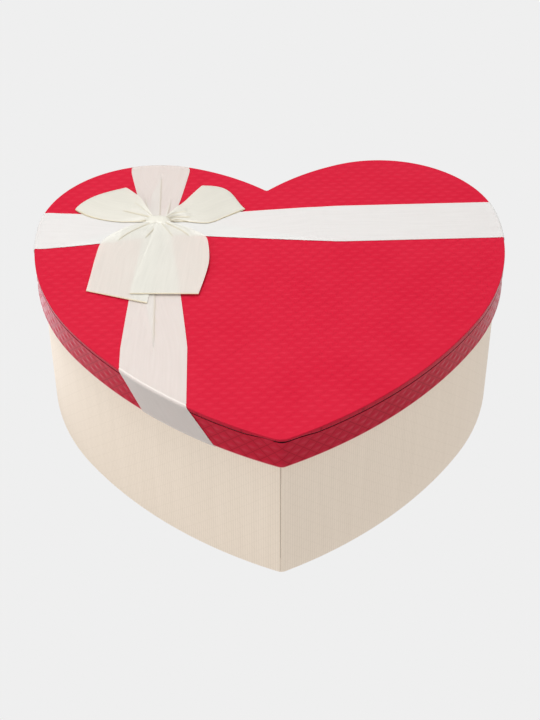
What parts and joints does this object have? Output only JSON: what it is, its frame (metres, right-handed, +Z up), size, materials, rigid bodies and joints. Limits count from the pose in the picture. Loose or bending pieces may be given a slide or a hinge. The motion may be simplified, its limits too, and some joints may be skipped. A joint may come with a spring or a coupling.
{
  "type": "heart gift box",
  "caption": "Heart-shaped rigid gift box: a cream paper-covered tray with a red embossed lift-off lid, crossed satin ribbons and a flat tied bow.",
  "frame": {"origin": "middle of the closed box's width and depth, on the surface that it stands on", "axes": "+Z up, +X to the right across the heart's width, +Y to the back: the heart's tip points to -Y"},
  "size_m": [0.2908, 0.2664, 0.1212],
  "materials": {
    "greyboard": "uncoated recycled board",
    "stay_tape": "gummed kraft tape",
    "cream_paper": "fine-ribbed pearl paper",
    "white_lining": "uncoated white paper",
    "red_paper": "embossed satin paper",
    "satin_ribbon": "thin satin",
    "adhesive_tape": "tissue tape"
  },
  "bodies": {
    "base": {"base_floor_board": "greyboard", "base_wall_board_left": "greyboard", "base_wall_board_right": "greyboard", "base_tip_stay": "stay_tape", "base_cleft_stay": "stay_tape", "base_wrap_paper": "cream_paper", "base_bottom_sheet": "cream_paper", "base_wall_lining": "white_lining", "base_floor_lining": "white_lining"},
    "lid": {"lid_panel_board": "greyboard", "lid_rim_board_left": "greyboard", "lid_rim_board_right": "greyboard", "lid_tip_stay": "stay_tape", "lid_cleft_stay": "stay_tape", "lid_rim_lining": "white_lining", "lid_panel_lining": "white_lining", "lid_top_paper": "red_paper", "lid_rim_paper": "red_paper", "cross_ribbon": "satin_ribbon", "long_ribbon": "satin_ribbon", "bow_knot": "satin_ribbon", "bow_loop_left": "satin_ribbon", "bow_loop_right": "satin_ribbon", "bow_tail_left": "satin_ribbon", "bow_tail_right": "satin_ribbon", "ribbon_end_tape": "adhesive_tape"}
  },
  "joints": [
    {"name": "lid_lift", "type": "slide", "parent": "base", "child": "lid", "axis": [0, 0, 1], "range_m": [0, 0.12]}
  ]
}
